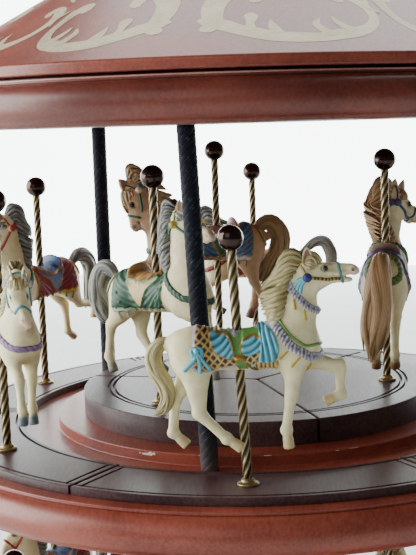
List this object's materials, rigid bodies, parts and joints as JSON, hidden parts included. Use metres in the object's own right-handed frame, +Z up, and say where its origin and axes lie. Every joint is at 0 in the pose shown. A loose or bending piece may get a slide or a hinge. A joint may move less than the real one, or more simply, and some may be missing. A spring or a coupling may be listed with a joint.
{
  "type": "tabletop model of a fairground carousel",
  "caption": "Two-storey tabletop carousel of turned wood: painted prancing horses on twisted brass poles stand on round decks under a low conical roof.",
  "frame": {"origin": "centre of the underside of the lower deck board", "axes": "+Z up, the roof's axis; -Y towards the front horse, which faces +X"},
  "size_m": [0.4182, 0.4182, 0.5823],
  "materials": {
    "red_brown_wood": "satin lacquer over red-brown stain, with gilt scrolls painted on the roof",
    "dark_brown_wood": "satin lacquer over very dark brown stain",
    "blue_black_wood": "blue-black paint on rope-turned posts",
    "antique_brass": "antique brown brass, worn brighter on the high spots",
    "painted_resin": "hand-painted cast resin in cream with many bright harness colours and gilt"
  },
  "bodies": {
    "root": {"lower_deck_board": "red_brown_wood", "upper_deck_board": "red_brown_wood", "canopy_board": "red_brown_wood", "roof": "red_brown_wood", "finial": "red_brown_wood", "upper_ring_segment_1": "dark_brown_wood", "upper_ring_segment_2": "dark_brown_wood", "upper_ring_segment_3": "dark_brown_wood", "upper_ring_segment_4": "dark_brown_wood", "upper_ring_segment_5": "dark_brown_wood", "upper_ring_segment_6": "dark_brown_wood", "lower_ring": "dark_brown_wood", "upper_plinth_sector_1": "dark_brown_wood", "upper_plinth_sector_2": "dark_brown_wood", "upper_plinth_sector_3": "dark_brown_wood", "lower_plinth": "dark_brown_wood", "lower_post_1": "blue_black_wood", "lower_post_2": "blue_black_wood", "lower_post_3": "blue_black_wood", "upper_post_1": "blue_black_wood", "upper_post_2": "blue_black_wood", "upper_post_3": "blue_black_wood", "upper_outer_pole_1": "antique_brass", "upper_outer_pole_2": "antique_brass", "upper_outer_pole_3": "antique_brass", "upper_outer_pole_4": "antique_brass", "upper_outer_pole_5": "antique_brass", "upper_outer_pole_6": "antique_brass", "upper_inner_pole_1": "antique_brass", "upper_inner_pole_2": "antique_brass", "upper_inner_pole_3": "antique_brass", "upper_outer_horse_1": "painted_resin", "upper_outer_horse_2": "painted_resin", "upper_outer_horse_3": "painted_resin", "upper_outer_horse_4": "painted_resin", "upper_outer_horse_5": "painted_resin", "upper_outer_horse_6": "painted_resin", "upper_inner_horse_1": "painted_resin", "upper_inner_horse_2": "painted_resin", "upper_inner_horse_3": "painted_resin", "lower_outer_horse_on_pole_1": "painted_resin", "lower_outer_horse_on_pole_2": "painted_resin", "lower_outer_horse_on_pole_3": "painted_resin", "lower_outer_horse_on_pole_4": "painted_resin", "lower_outer_horse_on_pole_5": "painted_resin", "lower_outer_horse_on_pole_6": "painted_resin", "lower_inner_horse_on_pole_1": "painted_resin", "lower_inner_horse_on_pole_2": "painted_resin", "lower_inner_horse_on_pole_3": "painted_resin"}
  },
  "joints": []
}
